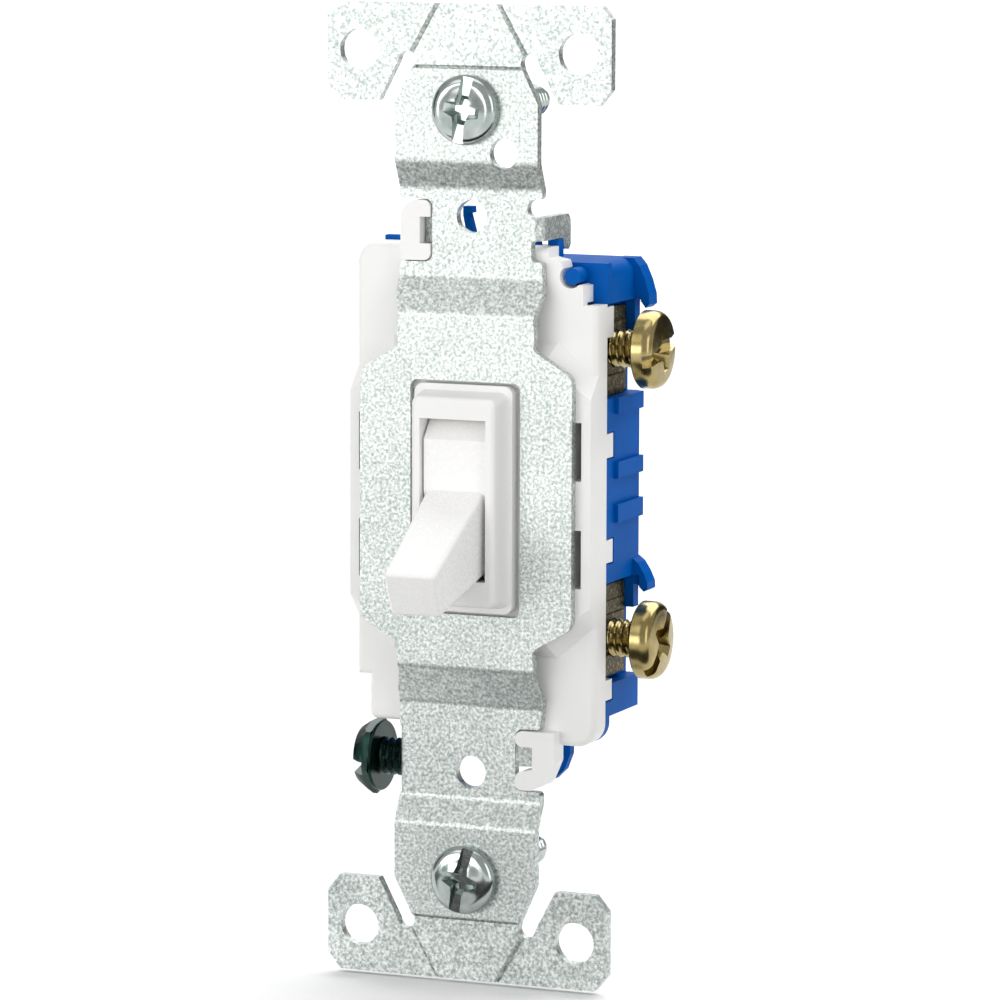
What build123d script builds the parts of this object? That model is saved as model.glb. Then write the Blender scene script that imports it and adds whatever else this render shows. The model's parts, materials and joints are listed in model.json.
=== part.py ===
from build123d import *
from math import atan2, cos, degrees, hypot, radians, sin
import os

# Toggle wall switch. X runs left to right, Y from the room into the wall, Z up.
# Y = 0 is the back face of the strap's ears, where they meet the wall.
# The origin is midway between the two box screws. All sizes are in mm.

# Standard spacings
BOX_SCREW_SPACING = 83.34
PLATE_SCREW_SPACING = 60.326

# Strap
STEEL = 1.15
EAR_HALF_WIDTH = 16.45
EAR_HALF_LENGTH = 52.9
EAR_INNER_Z = 42.4
EAR_HOLE_X = 12.68
EAR_HOLE_Z = 47.8
EAR_HOLE_R = 2.25
EAR_FRONT_Y = -1.15
SCREW_LAND_Y = -1.40
PLATE_LAND_TOP_Y = -0.05
PLATE_LAND_BOTTOM_Y = 0.05
CENTRE_Y = -1.75
BAND_RIGHT = 8.15
BAND_LEFT = 8.4
CENTRE_HALF_WIDTH = 12.35
WINDOW_HALF_WIDTH = 6.4
WINDOW_TOP_Z = 12.6
WINDOW_BOTTOM_Z = -12.7
BEND_R = 1.3
TAB_TOP = 30.25
TAB_BOTTOM = 27.75
STRAP_NOTCHES = (
    ((6.45, 10.0), (TAB_TOP, 32.2), 0.9),
    ((6.9, 10.0), (25.5, TAB_BOTTOM), 0.4),
    ((-10.0, -4.6), (25.15, 31.95), 0.9),
    ((5.2, 10.0), (-31.85, -25.05), 0.9),
)

# Housings
BODY_HALF_WIDTH = 14.05
BODY_TOP_Z = 27.0
BODY_BOTTOM_Z = -26.8
END_FRONT_Y = 1.20
RAISED_FRONT_Y = -0.60
SEAM_Y = 4.10
REAR_BACK_Y = 14.25
REAR_INNER_Y = 12.90
REAR_HALF_WIDTH = 14.0
REAR_TOP_Z = 25.3
REAR_BOTTOM_Z = -23.9
WALL = 1.25
WELL_FLOOR_X = 12.4
UPPER_WELL = (10.7, 20.9)
LOWER_WELL = (-20.4, -9.3)
PIN_X = 10.95
PIN_Z = 24.0

# Bezel
BEZEL_FRONT_Y = -5.20
BEZEL_HALF_WIDTH = 4.78
SLOT_HALF_WIDTH = 3.83
SLOT_TOP_Z = 8.85
SLOT_BOTTOM_Z = -8.54

# Toggle lever
PIVOT_Y = 4.28
REST_ANGLE = 23.5
DRUM_HALF_WIDTH = 3.6
DRUM_CAVITY_R = 12.5
TRUNNION_R = 1.5
RUNNING_GAP = 0.06
CAM_REACH = 4.6
CAM_R = 0.6

# Contact arm
ARM_X = (-7.8, -5.2)
ARM_T = 0.6
ARM_PIVOT = (10.8, -10.5)
ARM_PIVOT_R = 0.7
CONTACT_X = -6.5
CONTACT_Z = 11.0
CONTACT_R = 1.6

# Screws
SCREW_8_R = 2.08
SCREW_6_R = 1.75
NECK_R = 1.5
NECK_LENGTH = 1.95
TERMINAL_Z = 15.8
TERMINAL_Y = 8.6
TERMINAL_HEAD_R = 4.25
TERMINAL_HEAD_H = 2.55
MOUNTING_HEAD_H = 1.95
GROUND_HEAD_H = 2.3
GROUND_Y = 3.9
GROUND_Z = -29.8
THREAD_GAP = 0.06

# Push-in wire entries
WIRE_X = 5.1
WIRE_Z = 17.5
WIRE_R = 1.3


def block(x, y, z):
    """A box between two values on each axis."""
    size = (x[1] - x[0], y[1] - y[0], z[1] - z[0])
    centre = (sum(x) / 2, sum(y) / 2, sum(z) / 2)
    return Pos(*centre) * Box(*size)


def outline(points):
    return make_face(Polyline(*points, close=True))


def front_slab(sketch, y_front, y_back):
    """A sketch in X and Z, made solid between two depths."""
    plane = Plane(origin=(0, y_back, 0), x_dir=(1, 0, 0), z_dir=(0, -1, 0))
    return extrude(plane * sketch, amount=y_back - y_front)


def side_slab(sketch, x_low, x_high):
    """A sketch in Y and Z, made solid between two widths."""
    plane = Plane(origin=(x_low, 0, 0), x_dir=(0, 1, 0), z_dir=(1, 0, 0))
    return extrude(plane * sketch, amount=x_high - x_low)


def top_slab(sketch, z_low, z_high):
    """A sketch in X and Y, made solid between two heights."""
    return extrude(Plane.XY.offset(z_low) * sketch, amount=z_high - z_low)


def rod_x(x, y, z, r):
    """A cylinder along X between two widths."""
    turned = Rot(0, 90, 0) * Cylinder(r, x[1] - x[0])
    return Pos(sum(x) / 2, y, z) * turned


def rod_y(x, y, z, r):
    """A cylinder along Y between two depths."""
    turned = Rot(90, 0, 0) * Cylinder(r, y[1] - y[0])
    return Pos(x, sum(y) / 2, z) * turned


def mirror_z(points):
    return [(x, -z) for x, z in points]


# ---------------------------------------------------------------- strap
def strap_profile():
    """The band's edge in Y and Z, with its bends rounded."""
    line = [
        (-46.35, EAR_FRONT_Y),
        (-45.95, SCREW_LAND_Y),
        (-35.8, SCREW_LAND_Y),
        (-33.2, PLATE_LAND_BOTTOM_Y),
        (-22.7, PLATE_LAND_BOTTOM_Y),
        (-18.6, CENTRE_Y),
        (19.8, CENTRE_Y),
        (23.6, PLATE_LAND_TOP_Y),
        (33.2, PLATE_LAND_TOP_Y),
        (36.0, SCREW_LAND_Y),
        (45.95, SCREW_LAND_Y),
        (46.35, EAR_FRONT_Y),
    ]
    front = [(y, z) for z, y in line]
    back = [(y + STEEL, z) for z, y in reversed(line)]
    face = outline(front + back)
    bends = [v for v in face.vertices() if abs(v.Z) < 40 and abs(v.Y) < 40]
    return fillet(bends, BEND_R)


def half_edge(half_width):
    """One side of the band seen from the front, from its top to its bottom."""
    return [
        (6.2, 46.35),
        (half_width, 42.4),
        (half_width, 24.3),
        (8.5, 22.0),
        (8.15, 20.6),
        (7.85, 19.4),
        (8.0, 17.6),
        (7.85, 16.4),
        (8.3, 15.9),
        (CENTRE_HALF_WIDTH, 13.45),
        (CENTRE_HALF_WIDTH, -13.65),
        (8.3, -15.9),
        (7.85, -16.5),
        (8.0, -17.8),
        (7.85, -19.2),
        (8.4, -21.6),
        (half_width, -24.6),
        (half_width, -42.0),
        (6.2, -46.35),
    ]


def band_edge():
    """The band seen from the front, with its notches and rounded corners."""
    left = [(-x, z) for x, z in reversed(half_edge(BAND_LEFT))]
    edge = outline(half_edge(BAND_RIGHT) + left)
    wide = edge.vertices().filter_by(lambda v: abs(v.X) > CENTRE_HALF_WIDTH - 0.1)
    edge = fillet(wide, 1.5)
    for x, z, r in STRAP_NOTCHES:
        notch = RectangleRounded(x[1] - x[0], z[1] - z[0], r)
        edge -= Pos(sum(x) / 2, sum(z) / 2) * notch
    return edge


def notch_corners(band):
    """The band's upright edges where a notch meets its side."""
    heights = [height for _, z, _ in STRAP_NOTCHES for height in z]

    def at_notch(edge):
        middle = edge.center()
        near = min(abs(middle.Z - height) for height in heights)
        return 8.0 < abs(middle.X) < 8.5 and near < 0.01

    return band.edges().filter_by(Axis.Y).filter_by(at_notch)


def ear_plate(sign):
    """One pair of break-off ears with the strip between them."""
    corner_x, corner_z = (1.1, 1.35) if sign > 0 else (1.5, 1.8)
    edge = [
        (EAR_HALF_WIDTH - corner_x, EAR_HALF_LENGTH),
        (EAR_HALF_WIDTH, EAR_HALF_LENGTH - corner_z),
        (EAR_HALF_WIDTH, EAR_INNER_Z + 1.7),
        (EAR_HALF_WIDTH - 1.4, EAR_INNER_Z),
        (10.4, EAR_INNER_Z),
        (8.0, 47.0),
        (6.2, 46.35),
    ]
    mirrored = [(-x, z) for x, z in reversed(edge)]
    ring = edge + mirrored
    if sign < 0:
        ring = mirror_z(ring)
    plate = front_slab(outline(ring), EAR_FRONT_Y, 0)
    for side in (-1, 1):
        plate -= rod_y(side * EAR_HOLE_X, (-5, 5), sign * EAR_HOLE_Z, EAR_HOLE_R)
        notch_end = rod_y(side * 7.1, (-5, 5), sign * 46.75, 1.0)
        plate -= notch_end
        plate -= score_line(side, sign)
    return plate


def score_line(side, sign):
    """A shallow V groove from a notch end to the outer edge."""
    start = (side * 7.0, sign * 46.9)
    end = (side * 3.4, sign * 53.2)
    length = hypot(end[0] - start[0], end[1] - start[1])
    angle = degrees(atan2(end[1] - start[1], end[0] - start[0]))
    bar = Rot(45, 0, 0) * Box(length, 0.4, 0.4)
    middle = ((start[0] + end[0]) / 2, EAR_FRONT_Y, (start[1] + end[1]) / 2)
    return Pos(*middle) * Rot(0, -angle, 0) * bar


def side_tab(z, side, outer, reach, land_y, r):
    """A tab folded back along Y from the band's edge."""
    inner = outer - STEEL
    ring = [
        (6.0, land_y),
        (outer, land_y),
        (outer, reach),
        (inner, reach),
        (inner, land_y + STEEL),
        (6.0, land_y + STEEL),
    ]
    section = outline([(side * x, y) for x, y in ring])
    corner = section.vertices().filter_by(
        lambda v: abs(abs(v.X) - outer) < 0.01 and abs(v.Y - land_y) < 0.01
    )
    return top_slab(fillet(corner, r), *z)


def hooked_tab():
    """The upper right tab, whose end turns down behind the rear housing's rim."""
    ring = [
        (-1.0, TAB_BOTTOM),
        (5.9, TAB_BOTTOM),
        (6.3, 26.5),
        (7.6, 26.4),
        (8.1, 26.9),
        (8.1, TAB_TOP - 0.7),
        (7.5, TAB_TOP),
        (-1.0, TAB_TOP),
    ]
    tab = side_tab((26.0, TAB_TOP), 1, BAND_RIGHT, 8.1, PLATE_LAND_TOP_Y, 1.0)
    return tab & side_slab(outline(ring), 5, 10)


def tongue(x, z, y_root, y_tip):
    """A short tongue that leans back into a hook of the front housing."""
    ring = [
        (x[0], y_root),
        (x[1], y_tip),
        (x[1], y_tip + 0.9),
        (x[0], y_root + STEEL),
    ]
    return top_slab(outline(ring), *z)


def mounting_strap():
    band = side_slab(strap_profile(), -20, 20) & front_slab(band_edge(), -6, 6)
    band = fillet(notch_corners(band), 0.5)
    for side in (-1, 1):
        for sign in (-1, 1):
            band -= rod_y(side * 7.1, (-5, 5), sign * 46.75, 1.0)
    window = Pos(0, (WINDOW_TOP_Z + WINDOW_BOTTOM_Z) / 2) * RectangleRounded(
        2 * WINDOW_HALF_WIDTH, WINDOW_TOP_Z - WINDOW_BOTTOM_Z, 0.8
    )
    band -= front_slab(window, -6, 6)
    for sign in (-1, 1):
        band -= rod_y(0, (-6, 6), sign * PLATE_SCREW_SPACING / 2, 1.75)
        slot = Pos(0, sign * BOX_SCREW_SPACING / 2) * SlotOverall(6.4, 4.0)
        band -= front_slab(slot, -6, 6)
        crease = Rot(45, 0, 0) * Box(12.0, 0.35, 0.35)
        band -= Pos(0, -1.2, sign * 46.15) * crease
    band -= rod_y(4.25, (-6, 6), 37.1, 1.6)
    strap = band + ear_plate(1) + ear_plate(-1)

    strap -= block((6.4, 9), (-3, 3), (TAB_BOTTOM, TAB_TOP))
    strap += hooked_tab()
    strap -= block((-9, -6.4), (-3, 3), (-33.0, -25.6))
    strap += side_tab((-33.0, -25.6), -1, BAND_LEFT, 7.4, PLATE_LAND_BOTTOM_Y, 0.6)
    strap -= rod_x((-9, -6), GROUND_Y, GROUND_Z, SCREW_8_R + THREAD_GAP)

    strap += tongue((4.6, 7.25), (-29.2, -27.0), PLATE_LAND_BOTTOM_Y, 0.75)
    strap += tongue((-4.1, -5.85), (27.2, 29.9), PLATE_LAND_TOP_Y, 1.1)
    return strap


# ---------------------------------------------------------------- front housing
def corners_at(sketch, points, r):
    """Round only the named corners of a sketch."""
    chosen = sketch.vertices().filter_by(
        lambda v: min(hypot(v.X - x, v.Y - y) for x, y in points) < 0.01
    )
    return fillet(chosen, r)


def body_edge():
    """The housings' shared outline, stepped at the lower left."""
    w, top, bottom = BODY_HALF_WIDTH, BODY_TOP_Z, BODY_BOTTOM_Z
    ring = [
        (-w, top),
        (w, top),
        (w, bottom),
        (-6.7, bottom),
        (-6.7, -25.3),
        (-12.6, -25.3),
        (-12.6, -20.45),
        (-w, -20.45),
    ]
    face = corners_at(outline(ring), [(-w, top), (w, top), (w, bottom)], 2.3)
    return corners_at(face, [(-12.6, -25.3)], 0.8)


def raised_block():
    """The raised middle with its sloped shoulders."""
    w = BODY_HALF_WIDTH

    def ring(side_z, shoulder_x, end_z):
        return [
            (w, side_z),
            (shoulder_x, end_z),
            (-shoulder_x, end_z),
            (-w, side_z),
            (-w, -side_z - 0.4),
            (-shoulder_x, -end_z - 0.3),
            (shoulder_x, -end_z - 0.3),
            (w, -side_z - 0.4),
        ]

    planes = [
        Plane(origin=(0, y, 0), x_dir=(1, 0, 0), z_dir=(0, -1, 0))
        for y in (END_FRONT_Y + 0.85, RAISED_FRONT_Y)
    ]
    low = planes[0] * outline(ring(13.9, 10.0, 17.9))
    high = planes[1] * outline(ring(11.0, 8.8, 15.0))
    return loft([low, high], ruled=True)


def bezel_solid():
    """The flange and the drafted block that stand in the strap's window."""
    flange = Pos(0, 0) * RectangleRounded(11.4, 24.6, 1.0)
    body = front_slab(flange, -2.25, 1.5)
    base_plane = Plane(origin=(0, -1.6, 0), x_dir=(1, 0, 0), z_dir=(0, -1, 0))
    front_plane = Plane(origin=(0, BEZEL_FRONT_Y, 0), x_dir=(1, 0, 0), z_dir=(0, -1, 0))
    base = base_plane * RectangleRounded(10.7, 23.5, 1.0)
    front = front_plane * (Pos(0, -0.085) * RectangleRounded(2 * BEZEL_HALF_WIDTH, 22.43, 0.8))
    pillar = loft([base, front])
    lip = pillar.edges().filter_by_position(
        Axis.Y, BEZEL_FRONT_Y - 0.01, BEZEL_FRONT_Y + 0.01
    )
    return body + fillet(lip, 0.55)


def drum_room(half_width):
    """The round room that the lever's drum turns in."""
    room = rod_x((-half_width, half_width), PIVOT_Y, 0, DRUM_CAVITY_R)
    return room & block((-20, 20), (-3.3, 30), (-20, 20))


def bearing(x_low, x_high):
    """A snap-in cradle for one trunnion, open to the back."""
    post = block((x_low, x_high), (0.2, 6.4), (-3.0, 3.0))
    post -= rod_x((x_low - 1, x_high + 1), PIVOT_Y, 0, TRUNNION_R + RUNNING_GAP)
    return post - block((x_low - 1, x_high + 1), (PIVOT_Y, 8), (-1.3, 1.3))


def upper_hook():
    """The hook that closes round the strap's edge at the upper left."""
    ring = [
        (-8.2, 25.3),
        (-8.2, 31.8),
        (-4.73, 31.8),
        (-4.73, 30.0),
        (-5.95, 30.0),
        (-5.95, 27.1),
        (-4.73, 27.1),
        (-4.73, 25.3),
    ]
    face = corners_at(outline(ring), [(-8.2, 31.8)], 2.0)
    face = corners_at(face, [(-4.73, 31.8), (-4.73, 25.3)], 0.8)
    foot = block((-8.2, -6.0), (-0.05, SEAM_Y), (25.3, 27.1))
    return front_slab(face, -0.35, 3.9) + foot


def lower_hook():
    """The C hook round the strap's edge at the lower right."""
    ring = [
        (5.4, -25.2),
        (9.95, -25.2),
        (9.95, -28.4),
        (8.9, -30.9),
        (7.2, -31.65),
        (5.4, -31.65),
        (5.4, -29.8),
        (7.38, -29.35),
        (7.38, -26.9),
        (5.4, -26.9),
    ]
    face = corners_at(outline(ring), [(9.95, -28.4), (8.9, -30.9), (7.2, -31.65)], 1.0)
    face = corners_at(face, [(5.4, -25.2), (5.4, -26.9), (5.4, -31.65), (5.4, -29.8)], 0.75)
    return front_slab(face, -0.45, 2.2)


SNAP_TABS = ((17.3, 20.6), (4.3, 6.9), (-7.1, -4.6), (-22.1, -19.9))


def front_housing():
    body = front_slab(body_edge(), END_FRONT_Y, SEAM_Y)
    rim = body.edges().filter_by_position(Axis.Y, END_FRONT_Y - 0.01, END_FRONT_Y + 0.01)
    body = fillet(rim, 0.7) + raised_block()
    hollow = body_inner(END_FRONT_Y + WALL, SEAM_Y + 1)
    body -= hollow
    body -= block((-11.4, 11.4), (RAISED_FRONT_Y + WALL, 4), (-12.5, 12.5))
    body += bezel_solid()
    body += block((-5.7, -SLOT_HALF_WIDTH), (-1, 3.9), (-11.8, 11.8))
    body += block((SLOT_HALF_WIDTH, 5.7), (-1, 3.9), (-11.8, 11.8))
    body -= drum_room(SLOT_HALF_WIDTH)
    body -= block(
        (-SLOT_HALF_WIDTH, SLOT_HALF_WIDTH),
        (BEZEL_FRONT_Y - 1, 3),
        (SLOT_BOTTOM_Z, SLOT_TOP_Z),
    )
    body -= rod_x((-6, 6), PIVOT_Y, 0, 2.6)
    body += bearing(3.95, 5.5) + bearing(-5.5, -3.95)

    for low, high in ((2.3, 8.6), (-9.3, -3.0)):
        for side in (-1, 1):
            x_pair = sorted((side * 11.7, side * 13.0))
            body -= block(x_pair, (-2, 3), (low, high))
    body -= front_slab(outline(corner_notch()), -2, SEAM_Y + 1)
    body -= rod_y(PIN_X, (-2, SEAM_Y + 1), PIN_Z, 1.25)
    body += upper_hook() + lower_hook()
    for low, high in SNAP_TABS:
        body += block((13.35, 13.95), (3.0, 6.2), (low, high))
        if low > -20:
            body += block((-13.95, -13.35), (3.0, 6.2), (low, high))
    return body


def corner_notch():
    """Cut-away at the upper right corner, for the rear housing's post."""
    return [
        (8.4, 27.6),
        (8.4, 25.9),
        (9.8, 25.6),
        (10.1, 24.6),
        (11.0, 24.0),
        (11.9, 23.1),
        (12.4, 23.0),
        (12.4, 20.95),
        (15.0, 20.95),
        (15.0, 27.6),
    ]


def body_inner(y_front, y_back):
    """The room inside the front housing's skirt."""
    room = front_slab(Pos(0, 0.1) * Rectangle(25.4, 48.6), y_front, y_back)
    keep_left = block((-15, -11.2), (-5, 10), (-30, -19.2))
    keep_right = block((8.9, 15), (-5, 10), (21.2, 30))
    return room - keep_left - keep_right


# ---------------------------------------------------------------- rear housing
def guard(z_top, drop):
    """A slanted beak at the back corner that shields a terminal screw."""
    ring = [
        (12.0, z_top),
        (13.9, z_top),
        (14.6, z_top - 0.15 * drop),
        (15.3, z_top - 0.44 * drop),
        (15.75, z_top - 0.72 * drop),
        (15.8, z_top - 0.93 * drop),
        (15.35, z_top - drop),
        (14.9, z_top - 0.89 * drop),
        (14.4, z_top - 0.8 * drop),
        (12.0, z_top - 0.78 * drop),
    ]
    return front_slab(outline(ring), 11.9, REAR_BACK_Y)


LATCH = (
    (-2.8, 30.9),
    (-1.75, 30.9),
    (-1.7, 30.2),
    (-2.15, 30.1),
    (-1.3, 27.0),
    (-2.2, 27.0),
    (-2.8, 29.9),
)


def rear_flange():
    """The rim behind the front housing's skirt."""
    rim = front_slab(body_edge(), SEAM_Y + 0.05, 5.3)
    rim += block((-12.0, 6.0), (SEAM_Y + 0.05, 5.3), (25.0, 27.5))
    heel = [(7.5, -24), (9.95, -24), (9.95, -28.2), (9.3, -29.9), (8.2, -31.0), (7.5, -31.2)]
    rim += front_slab(outline(heel), SEAM_Y + 0.05, 5.3)
    rim -= block((-16, -6.7), (0, 8), (-34, -24.6))
    rim -= block((8.4, 16), (0, 8), (REAR_TOP_Z, 28))
    return rim + front_slab(outline(LATCH), SEAM_Y + 0.05, 5.3)


def rear_housing():
    body = block(
        (-REAR_HALF_WIDTH, REAR_HALF_WIDTH),
        (SEAM_Y + 0.05, REAR_BACK_Y),
        (REAR_BOTTOM_Z, REAR_TOP_Z),
    )
    top_edges = body.edges().filter_by(Axis.Y).group_by(Axis.Z)[-1]
    body = fillet(top_edges, 1.6)
    back_edges = body.edges().filter_by_position(
        Axis.Y, REAR_BACK_Y - 0.01, REAR_BACK_Y + 0.01
    )
    body = fillet(back_edges, 0.6)
    body += rear_flange()
    for low, high in ((8.9, 10.9), (1.9, 3.7), (-2.9, -0.9)):
        ribs = block((-14.5, 14.5), (6.4, REAR_BACK_Y - 0.5), (low, high))
        body += ribs
    body += guard(REAR_TOP_Z, 5.4) + guard(-7.4, 3.7)

    inner = block((-11.15, 11.15), (SEAM_Y - 1, REAR_INNER_Y), (-22.5, 23.9))
    for low, high in (UPPER_WELL, LOWER_WELL):
        body -= block((WELL_FLOOR_X, 14.8), (3, REAR_BACK_Y - 2.0), (low, high))
        body -= block((WELL_FLOOR_X, 14.8), (3, REAR_BACK_Y + 1), (low, high - 3.6))
    body -= inner
    for sign in (-1, 1):
        body -= rod_x((10, 20), TERMINAL_Y, sign * TERMINAL_Z, SCREW_8_R + 0.4)
        body -= rod_y(WIRE_X, (12, 15), sign * WIRE_Z, WIRE_R)
    body -= block((11, 12.5), (4, 6.0), (12.1, 15.1))
    body -= block((11, 12.5), (4, 11.3), (-13.5, -11.1))
    for low, high in SNAP_TABS:
        body -= block((13.25, 15), (4, 6.4), (low - 0.15, high + 0.15))
        body -= block((-15, -13.25), (4, 6.4), (low - 0.15, high + 0.15))
    body -= block((-15, -12.55), (4, 15), (-25.4, -20.3))

    body += rod_y(PIN_X, (1.7, 6.0), PIN_Z, 0.9)
    body += block((10.4, 12.4), (4.6, 6.6), (23.0, 25.2))
    body += block((7.1, 8.3), (SEAM_Y + 0.05, 5.7), (24.4, 27.65))
    seat = Pos(0, REAR_INNER_Y - 0.25, 0) * Rot(90, 0, 0) * Cone(1.0, 0.6, 0.6)
    return body + seat


# ---------------------------------------------------------------- toggle lever
def lever_point(u, w):
    """A point u out along the lever's centre line and w above it, lever level."""
    return (PIVOT_Y - u, w)


def at_rest(shape):
    """Turn a shape drawn with the lever level down to the off position."""
    return shape.rotate(Axis((0, PIVOT_Y, 0), (1, 0, 0)), REST_ANGLE)


def toggle_lever():
    upper = [(7.75, 4.3), (5.5, 9.55), (2.1, 11.2), (1.2, 10.5), (1.2, 2.2)]
    lower = [(u, -w) for u, w in reversed(upper)]
    drum_ring = [lever_point(u, w) for u, w in upper + lower]
    drum = side_slab(outline(drum_ring), -DRUM_HALF_WIDTH, DRUM_HALF_WIDTH)
    hub = rod_x((-DRUM_HALF_WIDTH, DRUM_HALF_WIDTH), PIVOT_Y, 0, 2.4)

    tip_plane = Plane(origin=(0, PIVOT_Y - 21.9, 0), x_dir=(1, 0, 0), z_dir=(0, -1, 0))
    root_plane = Plane(origin=(0, PIVOT_Y - 6.0, 0), x_dir=(1, 0, 0), z_dir=(0, -1, 0))
    tip = tip_plane * RectangleRounded(5.85, 5.05, 0.5)
    root = root_plane * RectangleRounded(6.75, 9.5, 0.5)
    blade = loft([root, tip])
    tip_edges = blade.edges().filter_by_position(
        Axis.Y, PIVOT_Y - 21.91, PIVOT_Y - 21.89
    )
    blade = fillet(tip_edges, 0.45)

    trunnions = rod_x((-5.65, 5.4), PIVOT_Y, 0, TRUNNION_R)
    nub = Pos(0, PIVOT_Y + 2.9, 0) * Rot(-90, 0, 0) * Cone(0.9, 0.5, 1.3)
    cam_hub = rod_x((-7.2, -5.65), PIVOT_Y, 0, 1.4)
    cam_tip = rod_x((-7.2, -5.65), PIVOT_Y + CAM_REACH, 0, CAM_R)
    cam_ring = [
        (PIVOT_Y, 1.4),
        (PIVOT_Y, -1.4),
        (PIVOT_Y + CAM_REACH, -CAM_R),
        (PIVOT_Y + CAM_REACH, CAM_R),
    ]
    cam = side_slab(outline(cam_ring), -7.2, -5.65)
    return at_rest(drum + hub + blade + trunnions + nub + cam_hub + cam_tip + cam)


def coil(r, wire_r, length, turns):
    """A round-wire coil that stands up from the origin along Z."""
    rise = length - 2 * wire_r
    path = Helix(pitch=rise / turns, height=rise, radius=r)
    start = path @ 0
    profile = Plane(origin=start, z_dir=path % 0) * Circle(wire_r)
    return Pos(0, 0, wire_r) * sweep(profile, path=path, is_frenet=True)


def toggle_spring():
    """The snap spring, from behind the pivot to its seat in the rear housing."""
    start = (
        PIVOT_Y + 3.5 * cos(radians(REST_ANGLE)),
        3.5 * sin(radians(REST_ANGLE)),
    )
    end = (REAR_INNER_Y - 0.55, 0.0)
    length = hypot(end[0] - start[0], end[1] - start[1])
    lean = degrees(atan2(end[1] - start[1], end[0] - start[0]))
    spring = Rot(-90 + lean, 0, 0) * coil(1.5, 0.27, length, 5)
    return Pos(0, start[0], start[1]) * spring


def stop_pad(sign):
    """A soft pad in the bezel that the drum lands on."""
    if sign > 0:
        return block((-3.2, 3.2), (-3.28, -2.88), (SLOT_TOP_Z + 0.15, 9.85))
    return block((-3.2, 3.2), (-3.28, -2.88), (-9.85, SLOT_BOTTOM_Z - 0.15))


# ---------------------------------------------------------------- contacts
def contact_arm():
    """The moving arm: a lower leg, a ramp that clears the cam, an upper leg."""
    front = [(10.5, -10.5), (10.5, -0.2), (9.16, 2.2), (9.16, 13.0)]
    back = [(y + ARM_T, z) for y, z in reversed(front)]
    arm = side_slab(outline(front + back), *ARM_X)
    arm += rod_x(ARM_X, *ARM_PIVOT, ARM_PIVOT_R)
    arm += rod_y(CONTACT_X, (9.16, 9.16 + ARM_T), CONTACT_Z, 2.0)
    return arm - rod_y(CONTACT_X, (8, 11), CONTACT_Z, 0.8)


def moving_contact():
    button = rod_y(CONTACT_X, (8.46, 9.16), CONTACT_Z, CONTACT_R)
    shank = rod_y(CONTACT_X, (9.16, 9.16 + ARM_T), CONTACT_Z, 0.8)
    tail = rod_y(CONTACT_X, (9.16 + ARM_T, 10.05), CONTACT_Z, 1.15)
    return button + shank + tail


def fixed_contact():
    button = rod_y(CONTACT_X, (5.85, 6.5), CONTACT_Z - 0.25, CONTACT_R)
    shank = rod_y(CONTACT_X, (5.05, 5.85), CONTACT_Z - 0.25, 0.8)
    tail = rod_y(CONTACT_X, (4.75, 5.05), CONTACT_Z - 0.25, 1.15)
    return button + shank + tail


def contact_spring():
    """A short coil between the rear wall and the arm."""
    spring = Rot(-90, 0, 0) * coil(1.1, 0.2, 3.0, 4)
    return Pos(CONTACT_X, 9.84, 6.6) * spring


def terminal_face(low, high):
    """The clamping face of a terminal, ribbed in front of its screw."""
    face = block((12.5, 13.1), (4.6, 11.9), (low, high))
    for step in range(5):
        z = low + (high - low) * (0.2 + 0.15 * step)
        face += block((13.1, 13.25), (4.9, 11.6), (z - 0.25, z + 0.25))
    return face


def upper_terminal_plate():
    plate = terminal_face(10.8, 20.3)
    plate += block((-8.4, 12.6), (5.05, 5.85), (12.2, 15.0))
    plate += block((-8.4, -4.7), (5.05, 5.85), (8.9, 12.3))
    plate -= rod_y(CONTACT_X, (4, 7), CONTACT_Z - 0.25, 0.8)
    return plate - rod_x((11, 15), TERMINAL_Y, TERMINAL_Z, SCREW_8_R + THREAD_GAP)


def lower_terminal_plate():
    plate = terminal_face(-19.8, -9.8)
    plate += block((-8.0, 12.6), (10.4, 11.2), (-13.4, -11.2))
    plate += block((-8.0, -5.0), (9.6, 12.0), (-13.4, -10.5))
    plate -= rod_x((-9, -4), *ARM_PIVOT, ARM_PIVOT_R + RUNNING_GAP)
    return plate - rod_x((11, 15), TERMINAL_Y, -TERMINAL_Z, SCREW_8_R + THREAD_GAP)


def wire_clip(z_mid):
    """A folded leaf that grips a wire pushed in from the back."""
    fold = [
        (3.3, 12.3),
        (3.3, 6.7),
        (7.0, 6.7),
        (7.0, 12.3),
        (6.6, 12.3),
        (6.6, 7.1),
        (3.7, 7.1),
        (3.7, 11.6),
        (5.0, 8.6),
        (5.4, 8.8),
        (3.8, 12.3),
    ]
    return top_slab(outline(fold), z_mid - 1.9, z_mid + 1.9)


# ---------------------------------------------------------------- screws
def screw(shank_r, length, head_r, head_h, dome):
    """A screw standing on the origin, head up, with a slot and cross recess."""
    body = Pos(0, 0, -length / 2) * Cylinder(shank_r, length)
    tip = body.edges().filter_by_position(Axis.Z, -length - 0.01, -length + 0.01)
    body = chamfer(tip, 0.4)
    head = Pos(0, 0, head_h / 2) * Cylinder(head_r, head_h)
    rim = head.edges().filter_by_position(Axis.Z, head_h - 0.01, head_h + 0.01)
    head = fillet(rim, dome)
    head -= Pos(0, 0, head_h) * Box(2 * head_r + 1, 1.15, 1.7)
    head -= Pos(0, 0, head_h) * Box(1.3, head_r * 1.1, 1.9)
    return body + head


def terminal_screw(z):
    body = screw(SCREW_8_R, 6.2, TERMINAL_HEAD_R, TERMINAL_HEAD_H, 1.0)
    return Pos(16.5, TERMINAL_Y, z) * Rot(0, 90, 0) * Rot(0, 0, 25) * body


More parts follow.
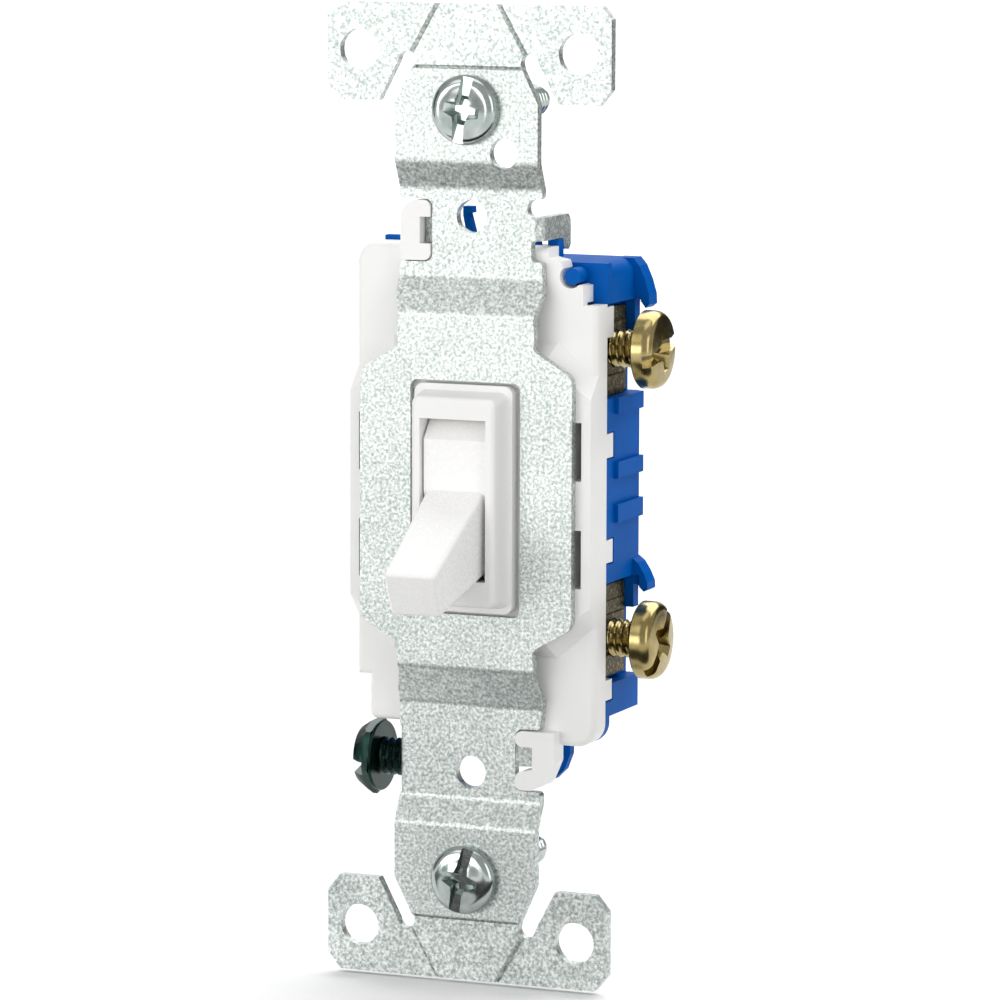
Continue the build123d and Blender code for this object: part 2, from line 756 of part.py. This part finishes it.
def mounting_screw(sign):
    body = screw(SCREW_6_R, 20.2, 3.75, MOUNTING_HEAD_H, 1.2)
    ring = Cylinder(SCREW_6_R + 1, NECK_LENGTH) - Cylinder(NECK_R, NECK_LENGTH)
    body -= Pos(0, 0, -NECK_LENGTH / 2) * ring
    turned = Rot(90, 0, 0) * Rot(0, 0, 75) * body
    return Pos(0, SCREW_LAND_Y - 0.05, sign * BOX_SCREW_SPACING / 2) * turned


def ground_screw():
    body = screw(SCREW_8_R, 6.0, 4.1, GROUND_HEAD_H, 0.5)
    hexagon = extrude(RegularPolygon(4.2, 6), amount=GROUND_HEAD_H)
    washer = Pos(0, 0, 0.3) * Cylinder(4.0, 0.6)
    body = (body & (hexagon + Pos(0, 0, -5) * Cylinder(5, 10))) + washer
    turned = Rot(0, -90, 0) * Rot(0, 0, 20) * body
    return Pos(-12.0, GROUND_Y, GROUND_Z) * turned


def retainer(sign):
    """The washer that keeps a mounting screw in the strap."""
    z = sign * BOX_SCREW_SPACING / 2
    back = SCREW_LAND_Y + STEEL
    disc = rod_y(0, (back + 0.03, back + 0.63), z, 3.2)
    return disc - rod_y(0, (-3, 3), z, SCREW_6_R + THREAD_GAP)


PARTS = {
    "mounting_strap": mounting_strap,
    "front_housing": front_housing,
    "rear_housing": rear_housing,
    "toggle_lever": toggle_lever,
    "toggle_spring": toggle_spring,
    "upper_stop_pad": lambda: stop_pad(1),
    "lower_stop_pad": lambda: stop_pad(-1),
    "contact_arm": contact_arm,
    "moving_contact": moving_contact,
    "fixed_contact": fixed_contact,
    "contact_spring": contact_spring,
    "upper_terminal_plate": upper_terminal_plate,
    "lower_terminal_plate": lower_terminal_plate,
    "upper_wire_clip": lambda: wire_clip(WIRE_Z),
    "lower_wire_clip": lambda: wire_clip(-WIRE_Z),
    "upper_terminal_screw": lambda: terminal_screw(TERMINAL_Z),
    "lower_terminal_screw": lambda: terminal_screw(-TERMINAL_Z),
    "upper_mounting_screw": lambda: mounting_screw(1),
    "lower_mounting_screw": lambda: mounting_screw(-1),
    "upper_screw_retainer": lambda: retainer(1),
    "lower_screw_retainer": lambda: retainer(-1),
    "ground_screw": ground_screw,
}

os.makedirs("parts", exist_ok=True)
for name, make in PARTS.items():
    shape = make()
    solids = shape.solids()
    if len(solids) != 1:
        print(name, "has", len(solids), "solids")
    export_step(shape, os.path.join("parts", name + ".step"))
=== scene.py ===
import json
import math

import bmesh
import bpy
from mathutils import Matrix, Vector


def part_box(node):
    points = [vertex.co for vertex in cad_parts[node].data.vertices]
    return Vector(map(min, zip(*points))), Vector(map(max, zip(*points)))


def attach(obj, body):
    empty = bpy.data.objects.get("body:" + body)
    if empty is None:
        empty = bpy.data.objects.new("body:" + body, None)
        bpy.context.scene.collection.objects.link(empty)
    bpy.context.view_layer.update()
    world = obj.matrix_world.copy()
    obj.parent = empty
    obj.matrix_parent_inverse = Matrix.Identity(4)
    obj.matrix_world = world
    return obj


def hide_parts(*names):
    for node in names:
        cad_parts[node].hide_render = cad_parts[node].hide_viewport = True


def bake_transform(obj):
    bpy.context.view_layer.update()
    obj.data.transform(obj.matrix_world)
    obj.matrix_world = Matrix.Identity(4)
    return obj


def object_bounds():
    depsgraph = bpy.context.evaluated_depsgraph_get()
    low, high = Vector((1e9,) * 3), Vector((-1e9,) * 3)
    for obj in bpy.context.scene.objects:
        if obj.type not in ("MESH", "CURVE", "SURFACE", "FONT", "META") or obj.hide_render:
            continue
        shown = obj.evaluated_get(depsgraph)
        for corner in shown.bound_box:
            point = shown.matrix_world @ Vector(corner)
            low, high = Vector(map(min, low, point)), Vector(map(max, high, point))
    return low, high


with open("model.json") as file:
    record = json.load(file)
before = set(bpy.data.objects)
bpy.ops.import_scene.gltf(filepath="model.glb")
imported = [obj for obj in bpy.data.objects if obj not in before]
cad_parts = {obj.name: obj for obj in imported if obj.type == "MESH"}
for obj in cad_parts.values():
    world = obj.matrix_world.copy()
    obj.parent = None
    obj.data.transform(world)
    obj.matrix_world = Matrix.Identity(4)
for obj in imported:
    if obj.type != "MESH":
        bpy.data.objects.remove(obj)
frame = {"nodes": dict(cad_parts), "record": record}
cad_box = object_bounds()
nodes = frame["nodes"]
MM = 0.001

# Screws, in metres. Each thread has 32 turns to the inch.
PITCH = 0.0254 / 32
RADIUS_8 = 2.08 * MM
RADIUS_6 = 1.75 * MM
TERMINAL_HEAD = 2.55 * MM
MOUNTING_HEAD = 1.95 * MM
GROUND_HEAD = 2.3 * MM
THREAD_DEPTH = 0.36 * MM

CAMERA_TURN = 22.845


# ---------------------------------------------------------------- materials
def new_material(name, **sockets):
    """A principled material with plain values set on its own sockets."""
    material = bpy.data.materials.new(name)
    material.use_nodes = True
    shader = material.node_tree.nodes["Principled BSDF"]
    for socket, value in sockets.items():
        shader.inputs[socket.replace("_", " ")].default_value = value
    return material


def add_noise(material, scale, detail=4.0, roughness=0.6, stretch=(1, 1, 1)):
    """A noise texture in the object's own coordinates; returns its factor."""
    tree = material.node_tree
    place = tree.nodes.new("ShaderNodeTexCoord")
    mapping = tree.nodes.new("ShaderNodeMapping")
    mapping.inputs["Scale"].default_value = stretch
    noise = tree.nodes.new("ShaderNodeTexNoise")
    noise.inputs["Scale"].default_value = scale
    noise.inputs["Detail"].default_value = detail
    noise.inputs["Roughness"].default_value = roughness
    tree.links.new(place.outputs["Object"], mapping.inputs["Vector"])
    tree.links.new(mapping.outputs["Vector"], noise.inputs["Vector"])
    return noise.outputs["Fac"]


def add_ramp(material, factor, stops):
    """A colour ramp over a factor; stops are (place, colour) pairs."""
    tree = material.node_tree
    ramp = tree.nodes.new("ShaderNodeValToRGB")
    elements = ramp.color_ramp.elements
    while len(elements) < len(stops):
        elements.new(0.5)
    for element, (place, colour) in zip(elements, stops):
        element.position = place
        element.color = (*colour, 1.0)
    tree.links.new(factor, ramp.inputs["Fac"])
    return ramp.outputs["Color"]


def mix_colours(material, factor, first, second, mode="MIX"):
    tree = material.node_tree
    mix = tree.nodes.new("ShaderNodeMix")
    mix.data_type = "RGBA"
    mix.blend_type = mode
    if isinstance(factor, float):
        mix.inputs["Factor"].default_value = factor
    else:
        tree.links.new(factor, mix.inputs["Factor"])
    tree.links.new(first, mix.inputs[6])
    tree.links.new(second, mix.inputs[7])
    return mix.outputs[2]


def use_colour(material, colour):
    shader = material.node_tree.nodes["Principled BSDF"]
    material.node_tree.links.new(colour, shader.inputs["Base Color"])


def use_roughness(material, factor, low, high):
    tree = material.node_tree
    spread = tree.nodes.new("ShaderNodeMapRange")
    spread.inputs["To Min"].default_value = low
    spread.inputs["To Max"].default_value = high
    tree.links.new(factor, spread.inputs["Value"])
    shader = tree.nodes["Principled BSDF"]
    tree.links.new(spread.outputs["Result"], shader.inputs["Roughness"])


def use_bump(material, height, distance, strength=1.0):
    tree = material.node_tree
    bump = tree.nodes.new("ShaderNodeBump")
    bump.inputs["Strength"].default_value = strength
    bump.inputs["Distance"].default_value = distance
    tree.links.new(height, bump.inputs["Height"])
    shader = tree.nodes["Principled BSDF"]
    tree.links.new(bump.outputs["Normal"], shader.inputs["Normal"])


def galvanised_steel():
    """Pale zinc coat: fine crystals, broad cloudy patches, a light tooth."""
    material = new_material("galvanised_steel", Metallic=0.85, Roughness=0.4)
    grain = add_noise(material, 2900, detail=3, roughness=0.7)
    cloud = add_noise(material, 160, detail=3)
    fine = add_ramp(
        material,
        grain,
        [(0.36, (0.31, 0.35, 0.335)), (0.50, (0.58, 0.615, 0.60)), (0.63, (0.86, 0.88, 0.87))],
    )
    broad = add_ramp(
        material, cloud, [(0.35, (0.88, 0.90, 0.89)), (0.65, (1.0, 1.0, 0.99))]
    )
    use_colour(material, mix_colours(material, 1.0, fine, broad, "MULTIPLY"))
    use_roughness(material, grain, 0.34, 0.50)
    use_bump(material, grain, 0.014 * MM, 0.5)
    return material


def moulded_plastic(name, dark, light, low, high, specular=0.45):
    """Moulded plastic: faint flow marks in its colour and a fine spark-eroded skin."""
    material = new_material(name, Specular_IOR_Level=specular)
    flow = add_noise(material, 90, detail=2)
    skin = add_noise(material, 3600, detail=2)
    use_colour(material, add_ramp(material, flow, [(0.35, dark), (0.65, light)]))
    use_roughness(material, skin, low, high)
    use_bump(material, skin, 0.012 * MM, 0.35)
    return material


def plated_metal(name, dark, light, low, high, scale=420, stretch=(1, 1, 1), metallic=1.0):
    """Plated or rolled metal: cloudy colour, fine scratches, uneven gloss."""
    material = new_material(name, Metallic=metallic)
    cloud = add_noise(material, scale, detail=5)
    scratch = add_noise(material, scale * 5, detail=2, stretch=stretch)
    use_colour(material, add_ramp(material, cloud, [(0.33, dark), (0.67, light)]))
    use_roughness(material, scratch, low, high)
    use_bump(material, scratch, 0.01 * MM, 0.4)
    return material


def speckled_brass():
    """Tarnished stamped brass with dark and gold flecks."""
    material = new_material("speckled_brass", Metallic=0.9)
    fleck = add_noise(material, 2300, detail=4, roughness=0.8)
    stops = [(0.38, (0.02, 0.016, 0.008)), (0.52, (0.085, 0.068, 0.026)), (0.66, (0.42, 0.34, 0.15))]
    use_colour(material, add_ramp(material, fleck, stops))
    use_roughness(material, fleck, 0.3, 0.55)
    use_bump(material, fleck, 0.03 * MM, 0.6)
    return material


MATERIALS = {
    "strap_steel": galvanised_steel(),
    "white_plastic": moulded_plastic(
        "white_plastic", (0.88, 0.875, 0.86), (0.91, 0.905, 0.89), 0.34, 0.46
    ),
    "lever_plastic": moulded_plastic(
        "lever_plastic", (0.92, 0.915, 0.90), (0.945, 0.94, 0.925), 0.22, 0.32
    ),
    "blue_plastic": moulded_plastic(
        "blue_plastic", (0.0, 0.092, 0.40), (0.0005, 0.108, 0.46), 0.34, 0.46, specular=0.04
    ),
    "screw_brass": plated_metal(
        "screw_brass", (0.29, 0.225, 0.085), (0.47, 0.385, 0.18), 0.14, 0.28
    ),
    "terminal_brass": speckled_brass(),
    "contact_brass": plated_metal(
        "contact_brass", (0.50, 0.33, 0.12), (0.68, 0.48, 0.20), 0.28, 0.42
    ),
    "contact_silver": plated_metal(
        "contact_silver", (0.70, 0.70, 0.68), (0.84, 0.84, 0.82), 0.25, 0.38
    ),
    "spring_steel": plated_metal(
        "spring_steel", (0.35, 0.36, 0.38), (0.52, 0.53, 0.55), 0.22, 0.34
    ),
    "screw_zinc": plated_metal(
        "screw_zinc", (0.36, 0.41, 0.39), (0.56, 0.61, 0.59), 0.10, 0.22
    ),
    "screw_green": plated_metal(
        "screw_green", (0.002, 0.011, 0.009), (0.009, 0.040, 0.031), 0.16, 0.30, metallic=0.75
    ),
    "retainer_fibre": moulded_plastic(
        "retainer_fibre", (0.20, 0.14, 0.09), (0.30, 0.22, 0.15), 0.6, 0.8
    ),
    "pad_rubber": moulded_plastic(
        "pad_rubber", (0.02, 0.02, 0.02), (0.035, 0.035, 0.035), 0.6, 0.75
    ),
}


def paint(obj, slot):
    obj.data.materials.clear()
    obj.data.materials.append(MATERIALS[slot])


# ---------------------------------------------------------------- mesh helpers
def new_object(name, mesh):
    obj = bpy.data.objects.new(name, mesh)
    bpy.context.scene.collection.objects.link(obj)
    return obj


def shade(obj, angle=35):
    """Smooth faces, with edges sharper than the angle kept crisp."""
    for polygon in obj.data.polygons:
        polygon.use_smooth = True
    limit = math.radians(angle)
    mesh = bmesh.new()
    mesh.from_mesh(obj.data)
    for edge in mesh.edges:
        if len(edge.link_faces) == 2:
            edge.smooth = edge.calc_face_angle(0) < limit
    mesh.to_mesh(obj.data)
    mesh.free()


def soften(obj, width, segments=2, angle=35):
    """Merge coplanar faces, then round the sharp edges a little."""
    merge = obj.modifiers.new("merge", "DECIMATE")
    merge.decimate_type = "DISSOLVE"
    merge.angle_limit = math.radians(1)
    bevel = obj.modifiers.new("round", "BEVEL")
    bevel.width = width
    bevel.segments = segments
    bevel.limit_method = "ANGLE"
    bevel.angle_limit = math.radians(angle)
    bevel.harden_normals = True
    bevel.use_clamp_overlap = True
    for polygon in obj.data.polygons:
        polygon.use_smooth = True


def lathe(name, profile, steps=64):
    """A closed solid turned about Z from (radius, height) points."""
    mesh = bmesh.new()
    rings = []
    for r, z in profile:
        if r < 1e-9:
            rings.append([mesh.verts.new((0, 0, z))])
            continue
        ring = []
        for i in range(steps):
            a = 2 * math.pi * i / steps
            ring.append(mesh.verts.new((r * math.cos(a), r * math.sin(a), z)))
        rings.append(ring)
    for low, high in zip(rings, rings[1:]):
        for i in range(steps):
            j = (i + 1) % steps
            corners = [low[i % len(low)], low[j % len(low)], high[j % len(high)], high[i % len(high)]]
            unique = list(dict.fromkeys(corners))
            if len(unique) > 2:
                mesh.faces.new(unique)
    bmesh.ops.recalc_face_normals(mesh, faces=mesh.faces)
    data = bpy.data.meshes.new(name)
    mesh.to_mesh(data)
    mesh.free()
    return new_object(name, data)


def prism(name, points, low, high, taper=1.0):
    """A polygon in X and Y stood up between two heights, scaled at its low end."""
    mesh = bmesh.new()
    top = [mesh.verts.new((x, y, high)) for x, y in points]
    base = [mesh.verts.new((x * taper, y * taper, low)) for x, y in points]
    mesh.faces.new(top)
    mesh.faces.new(list(reversed(base)))
    for i in range(len(points)):
        j = (i + 1) % len(points)
        mesh.faces.new([base[i], base[j], top[j], top[i]])
    bmesh.ops.recalc_face_normals(mesh, faces=mesh.faces)
    data = bpy.data.meshes.new(name)
    mesh.to_mesh(data)
    mesh.free()
    return new_object(name, data)


def cut(obj, *tools):
    """Take the tools out of the object and delete them."""
    for tool in tools:
        boolean = obj.modifiers.new("cut", "BOOLEAN")
        boolean.operation = "DIFFERENCE"
        boolean.solver = "EXACT"
        boolean.object = tool
    bpy.context.view_layer.update()
    evaluated = obj.evaluated_get(bpy.context.evaluated_depsgraph_get())
    result = bpy.data.meshes.new_from_object(evaluated)
    obj.modifiers.clear()
    obj.data = result
    for tool in tools:
        bpy.data.objects.remove(tool)
    return obj


def join(name, parts):
    """One object from several, with their transforms applied."""
    mesh = bmesh.new()
    for part in parts:
        part.data.transform(part.matrix_world)
        mesh.from_mesh(part.data)
        bpy.data.objects.remove(part)
    data = bpy.data.meshes.new(name)
    mesh.to_mesh(data)
    mesh.free()
    return new_object(name, data)


def threaded_rod(name, radius, z_low, z_high, point):
    """A rod with a helical V thread, tapered to a blunt point at its low end."""
    rows = max(2, round((z_high - z_low) / (PITCH / 8)))
    columns = 48
    mesh = bmesh.new()
    rings = []
    for row in range(rows + 1):
        z = z_low + (z_high - z_low) * row / rows
        shrink = min(1.0, (z - z_low) / point)
        crest = radius - 0.45 * MM * (1 - shrink)
        ring = []
        for column in range(columns):
            turn = column / columns
            phase = (z / PITCH - turn) % 1.0
            height = 1 - abs(2 * phase - 1)
            height = min(1.0, max(0.0, 1.25 * height - 0.1))
            r = crest - THREAD_DEPTH * (1 - height)
            a = 2 * math.pi * turn
            ring.append(mesh.verts.new((r * math.cos(a), r * math.sin(a), z)))
        rings.append(ring)
    for low, high in zip(rings, rings[1:]):
        for i in range(columns):
            j = (i + 1) % columns
            mesh.faces.new([low[i], low[j], high[j], high[i]])
    mesh.faces.new(list(reversed(rings[0])))
    mesh.faces.new(rings[-1])
    data = bpy.data.meshes.new(name)
    mesh.to_mesh(data)
    mesh.free()
    return new_object(name, data)


def cross_recess(width, reach, depth, height):
    """A tapered cross, as a cutting tool with its top at a height."""
    half = width / 2
    corners = []
    for quarter in range(4):
        a = math.pi / 2 * quarter
        for x, y in ((reach, -half), (reach, half), (half * 1.5, half * 1.5)):
            corners.append(
                (x * math.cos(a) - y * math.sin(a), x * math.sin(a) + y * math.cos(a))
            )
    return prism("cross", corners, height - depth, height + 0.5 * MM, 0.42)


def slot_tool(width, length, depth, height):
    half_w, half_l = width / 2, length / 2
    ring = [(-half_l, -half_w), (half_l, -half_w), (half_l, half_w), (-half_l, half_w)]
    return prism("slot", ring, height - depth, height + 1.0 * MM)


def pan_profile(radius, height, crown, lip, shoulder):
    """A head's section: flat back, short side, rounded shoulder and crown."""
    points = [(0, 0), (radius - 0.15 * MM, 0), (radius, 0.15 * MM), (radius, lip)]
    steps = 10
    for step in range(1, steps + 1):
        a = math.pi / 2 * step / steps
        r = radius * (1 - shoulder * (1 - math.cos(a)))
        z = lip + (height - lip) * math.sin(a)
        points.append((r, z))
    inner = points[-1][0]
    for step in range(1, 7):
        r = inner * (1 - step / 6)
        z = height + crown * (1 - (r / inner) ** 2)
        points.append((r, z))
    return points


def combination_screw(name, thread, head, recess):
    """A round-headed screw with a slot across a cross recess, head up."""
    radius, length, neck = thread
    head_r, height, crown, lip, shoulder = head
    slot_width, cross_width, cross_reach, depth = recess
    body = lathe(name + "_head", pan_profile(head_r, height - crown, crown, lip, shoulder))
    cut(
        body,
        slot_tool(slot_width, 2 * head_r + 2 * MM, 0.62 * depth, height),
        cross_recess(cross_width, cross_reach, depth, height),
    )
    rod = threaded_rod(name + "_rod", radius, -length, -neck, 1.2 * MM)
    collar_r = radius - THREAD_DEPTH * 0.9
    collar = lathe(
        name + "_neck",
        [(0, -neck - 0.05 * MM), (collar_r, -neck - 0.05 * MM), (collar_r, 0.05 * MM), (0, 0.05 * MM)],
    )
    return join(name, [body, rod, collar])


def hex_screw(name, radius, length, width, head_h, washer_r):
    """A hex washer-head screw with a slot, head up."""
    corners = []
    for i in range(6):
        a = math.pi / 3 * i
        corners.append((width * math.cos(a), width * math.sin(a)))
    head = prism(name + "_hex", corners, 0.3 * MM, head_h)
    dome_profile = [(0, -0.5 * MM), (width * 1.1, -0.5 * MM), (width * 1.1, 0.5 * MM)]
    dome_profile += [(width * 0.96, 1.0 * MM), (width * 0.76, head_h), (0, head_h)]
    dome = lathe(name + "_dome", dome_profile)
    keep = head.modifiers.new("keep", "BOOLEAN")
    keep.operation = "INTERSECT"
    keep.solver = "EXACT"
    keep.object = dome
    cut(head, slot_tool(1.5 * MM, 4 * width, 1.3 * MM, head_h))
    bpy.data.objects.remove(dome)
    washer_profile = [(0, 0), (washer_r - 0.1 * MM, 0), (washer_r, 0.15 * MM)]
    washer_profile += [(washer_r, 0.35 * MM), (washer_r - 0.3 * MM, 0.5 * MM), (0, 0.55 * MM)]
    washer = lathe(name + "_washer", washer_profile)
    rod = threaded_rod(name + "_rod", radius, -length, 0.1 * MM, 1.2 * MM)
    return join(name, [head, washer, rod])


def stand_in(obj, node, slot, body, place, turn, bevel=0.08 * MM):
    """Put a screw where its CAD node is, facing the way its head faces."""
    obj.matrix_world = Matrix.Translation(place) @ turn
    bpy.context.view_layer.update()
    obj.data.transform(obj.matrix_world)
    obj.matrix_world = Matrix.Identity(4)
    paint(obj, slot)
    shade(obj)
    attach(obj, body)
    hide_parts(node)
    round_edges = obj.modifiers.new("round", "BEVEL")
    round_edges.width = bevel
    round_edges.segments = 2
    round_edges.limit_method = "ANGLE"
    round_edges.angle_limit = math.radians(50)
    return obj


# ---------------------------------------------------------------- screws
def head_turn(direction, roll):
    """The turn that points a screw's head along a direction, rolled about it."""
    spin = Matrix.Rotation(math.radians(roll), 4, "Z")
    return Vector(direction).to_track_quat("Z", "Y").to_matrix().to_4x4() @ spin


def make_terminal_screws():
    for level, roll in (("upper", 14), ("lower", 52)):
        node = level + "_terminal_screw"
        low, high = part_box(node)
        middle = (low + high) / 2
        seat = high.x - TERMINAL_HEAD
        head_r = (high.z - low.z) / 2
        thread = (RADIUS_8, seat - low.x, 0.5 * MM)
        head = (head_r, TERMINAL_HEAD, 0.25 * MM, 1.1 * MM, 0.22)
        recess = (1.35 * MM, 1.5 * MM, 2.75 * MM, 1.9 * MM)
        body = combination_screw(node + "_detail", thread, head, recess)
        place = Vector((seat, middle.y, middle.z))
        stand_in(body, node, "screw_brass", node, place, head_turn((1, 0, 0), roll))


def make_mounting_screws():
    for level, roll in (("upper", 80), ("lower", 77)):
        node = level + "_mounting_screw"
        low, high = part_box(node)
        middle = (low + high) / 2
        seat = low.y + MOUNTING_HEAD
        head_r = (high.z - low.z) / 2
        thread = (RADIUS_6, high.y - seat, 2.0 * MM)
        head = (head_r, MOUNTING_HEAD, 0.5 * MM, 0.6 * MM, 0.3)
        recess = (1.3 * MM, 1.35 * MM, 2.7 * MM, 1.5 * MM)
        body = combination_screw(node + "_detail", thread, head, recess)
        place = Vector((middle.x, seat, middle.z))
        stand_in(body, node, "screw_zinc", node, place, head_turn((0, -1, 0), roll))


def make_ground_screw():
    node = "ground_screw"
    low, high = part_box(node)
    middle = (low + high) / 2
    seat = low.x + GROUND_HEAD
    body = hex_screw(node + "_detail", RADIUS_8, high.x - seat, 4.25 * MM, GROUND_HEAD, 3.9 * MM)
    place = Vector((seat, middle.y, middle.z))
    stand_in(body, node, "screw_green", node, place, head_turn((-1, 0, 0), -15))


# ---------------------------------------------------------------- springs
def bend_copy(node, slot):
    """A copy of a spring's CAD mesh, painted and smooth-shaded, in place of its CAD node."""
    source = nodes[node]
    obj = new_object(node + "_coil", source.data.copy())
    paint(obj, slot)
    for polygon in obj.data.polygons:
        polygon.use_smooth = True
    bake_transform(obj)
    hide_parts(node)


def make_springs():
    bend_copy("toggle_spring", "spring_steel")
    bend_copy("contact_spring", "spring_steel")


# ---------------------------------------------------------------- carried-over CAD nodes
EDGE_WIDTH = {
    "mounting_strap": 0.16 * MM,
    "front_housing": 0.22 * MM,
    "rear_housing": 0.18 * MM,
    "toggle_lever": 0.12 * MM,
    "upper_terminal_plate": 0.06 * MM,
    "lower_terminal_plate": 0.06 * MM,
}


def paint_nodes():
    slots = {row["node"]: row["material_slot"] for row in frame["record"]["subparts"]}
    for name, obj in nodes.items():
        paint(obj, slots[name])
        soften(obj, EDGE_WIDTH.get(name, 0.04 * MM))


# ---------------------------------------------------------------- camera, light and floor
def make_camera():
    """The photograph's angle: 23 degrees round to the right, 7.5 above."""
    turn = math.radians(CAMERA_TURN)
    rise = math.radians(7.496)
    distance = 0.60054
    target = Vector((0.00385, -0.00115, -0.000077))
    back = Vector(
        (math.sin(turn) * math.cos(rise), -math.cos(turn) * math.cos(rise), math.sin(rise))
    )
    data = bpy.data.cameras.new("camera")
    data.sensor_width = 36
    data.lens = 201.6
    data.clip_start = 0.01
    data.clip_end = 20
    camera = bpy.data.objects.new("camera", data)
    bpy.context.scene.collection.objects.link(camera)
    facing = back.to_track_quat("Z", "Y").to_matrix().to_4x4()
    lean = Matrix.Rotation(math.radians(0.169), 4, "Z")
    camera.matrix_world = Matrix.Translation(target + back * distance) @ facing @ lean
    bpy.context.scene.camera = camera


def area_light(name, place, aim, size, power, colour=(1, 1, 1)):
    data = bpy.data.lights.new(name, "AREA")
    data.shape = "RECTANGLE"
    data.size, data.size_y = size
    data.energy = power
    data.color = colour
    light = bpy.data.objects.new(name, data)
    bpy.context.scene.collection.objects.link(light)
    direction = Vector(aim) - Vector(place)
    light.rotation_euler = direction.to_track_quat("-Z", "Y").to_euler()
    light.location = place
    return light


def flat_panel(name, place, aim, size, material):
    mesh = bpy.data.meshes.new(name)
    w, h = size[0] / 2, size[1] / 2
    mesh.from_pydata([(-w, -h, 0), (w, -h, 0), (w, h, 0), (-w, h, 0)], [], [(0, 1, 2, 3)])
    panel = new_object(name, mesh)
    direction = Vector(aim) - Vector(place)
    panel.rotation_euler = direction.to_track_quat("Z", "Y").to_euler()
    panel.location = place
    mesh.materials.append(material)
    return panel


def make_stage():
    floor_z = cad_box[0][2] - 0.4 * MM
    pale = new_material("pale_floor", Roughness=0.9)
    tone = add_noise(pale, 6, detail=2)
    use_colour(pale, add_ramp(pale, tone, [(0.4, (0.90, 0.90, 0.90)), (0.6, (0.93, 0.93, 0.93))]))
    mesh = bpy.data.meshes.new("floor")
    half = 4.0
    mesh.from_pydata(
        [(-half, -half, floor_z), (half, -half, floor_z), (half, half, floor_z), (-half, half, floor_z)],
        [],
        [(0, 1, 2, 3)],
    )
    mesh.materials.append(pale)
    floor = new_object("floor", mesh)

    world = bpy.data.worlds.new("studio")
    world.use_nodes = True
    background = world.node_tree.nodes["Background"]
    background.inputs["Color"].default_value = (1, 1, 1, 1)
    background.inputs["Strength"].default_value = 0.55
    bpy.context.scene.world = world

    centre = (0, 0, 0)
    area_light("key", (-0.40, -0.90, -0.03), centre, (0.7, 0.6), 4.4)
    area_light("high_key", (-0.36, -0.66, 0.55), centre, (0.5, 0.35), 0.6)
    area_light("fill", (0.75, -0.45, 0.25), centre, (0.3, 0.6), 1.15)
    area_light("top", (0.1, -0.1, 0.9), centre, (0.6, 0.4), 0.9)
    area_light("floor_wash", (0.0, 1.6, 1.6), (0, 1.6, 0), (3.0, 2.4), 60.0)
    black = new_material("black_card", Roughness=0.9)
    shade_tone = add_noise(black, 4, detail=1)
    use_colour(black, add_ramp(black, shade_tone, [(0.4, (0.01, 0.01, 0.01)), (0.6, (0.02, 0.02, 0.02))]))
    flat_panel("dark_card_right", (0.25, 0.59, -0.02), centre, (0.52, 0.7), black)
    flat_panel("dark_card_left", (-0.5, -0.1, -0.02), centre, (0.16, 0.5), black)
    low = flat_panel("dark_card_low", (0, 0, 0), (0, 0, 1), (0.3, 0.06), black)
    turn = math.radians(CAMERA_TURN)
    reach = 0.05
    low.rotation_euler = (0, 0, turn)
    low.location = (reach * math.sin(turn), -reach * math.cos(turn), cad_box[0][2])


bpy.context.scene.view_settings.view_transform = "Standard"
paint_nodes()
make_terminal_screws()
make_mounting_screws()
make_ground_screw()
make_springs()
make_camera()
make_stage()
